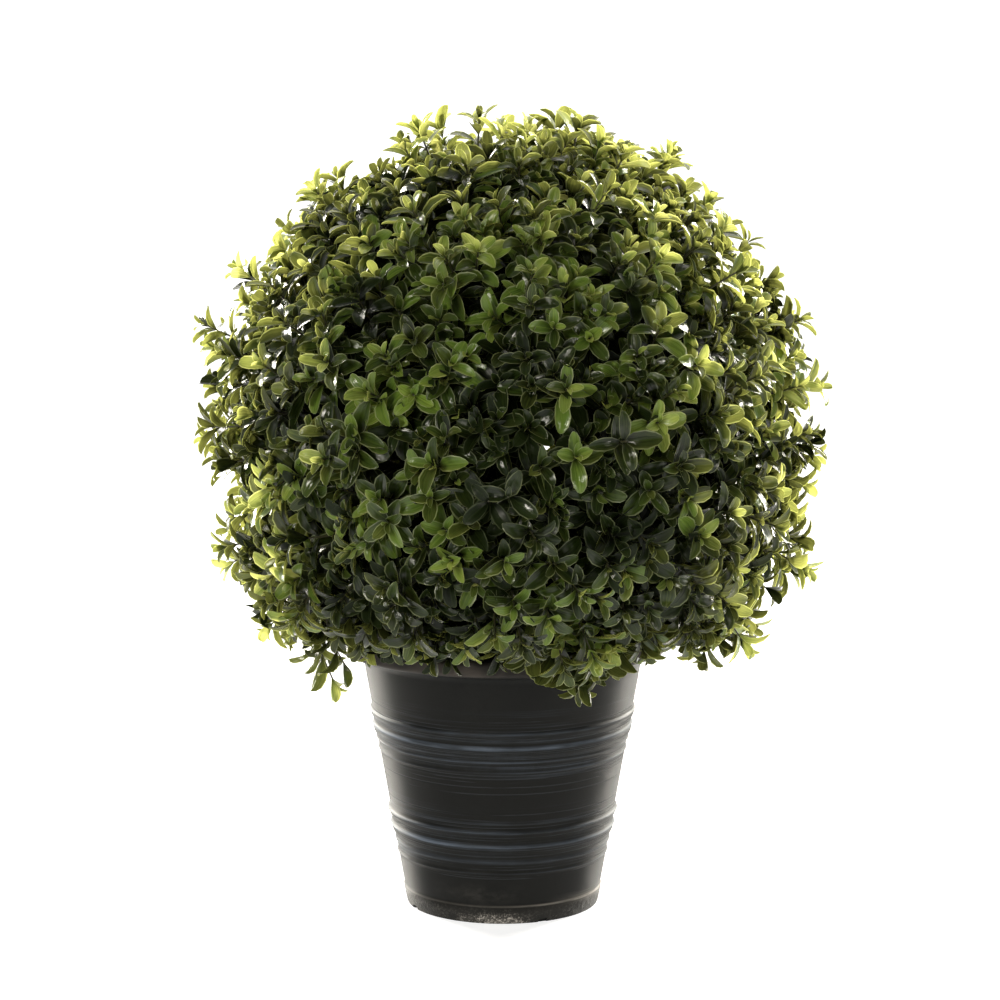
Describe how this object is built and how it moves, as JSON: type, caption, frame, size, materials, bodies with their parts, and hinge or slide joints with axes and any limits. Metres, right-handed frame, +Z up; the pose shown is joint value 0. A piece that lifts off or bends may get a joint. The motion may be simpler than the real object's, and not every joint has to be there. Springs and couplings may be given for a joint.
{
  "type": "artificial box topiary ball in a pot",
  "caption": "Clipped ball of artificial box foliage on a short forked stem, standing in a tapered dark pot with two moulded belts and a flared lip.",
  "frame": {"origin": "centre of the flat underside of the pot, on the ground", "axes": "+Z up the pot's axis, -Y towards the side the picture shows, +X to the picture's right"},
  "size_m": [0.4183, 0.3996, 0.5329],
  "materials": {
    "pot": "charcoal, satin, with grey-blue dry-brushed crests and a dusty foot",
    "fill": "rough cast ballast, dark brown",
    "bark": "dark brown moulded bark",
    "leaf": "semi-gloss box leaves, dark green with paler young tips"
  },
  "bodies": {
    "root": {"pot": "pot", "pot_fill": "fill", "stem": "bark", "bough_top": "bark", "bough_upper_1": "bark", "bough_upper_2": "bark", "bough_upper_3": "bark", "bough_upper_4": "bark", "bough_middle_1": "bark", "bough_middle_2": "bark", "bough_middle_3": "bark", "bough_middle_4": "bark", "bough_middle_5": "bark", "bough_lower_1": "bark", "bough_lower_2": "bark", "bough_lower_3": "bark", "bough_lower_4": "bark", "bough_lower_5": "bark", "foliage_ball": "leaf"}
  },
  "joints": []
}
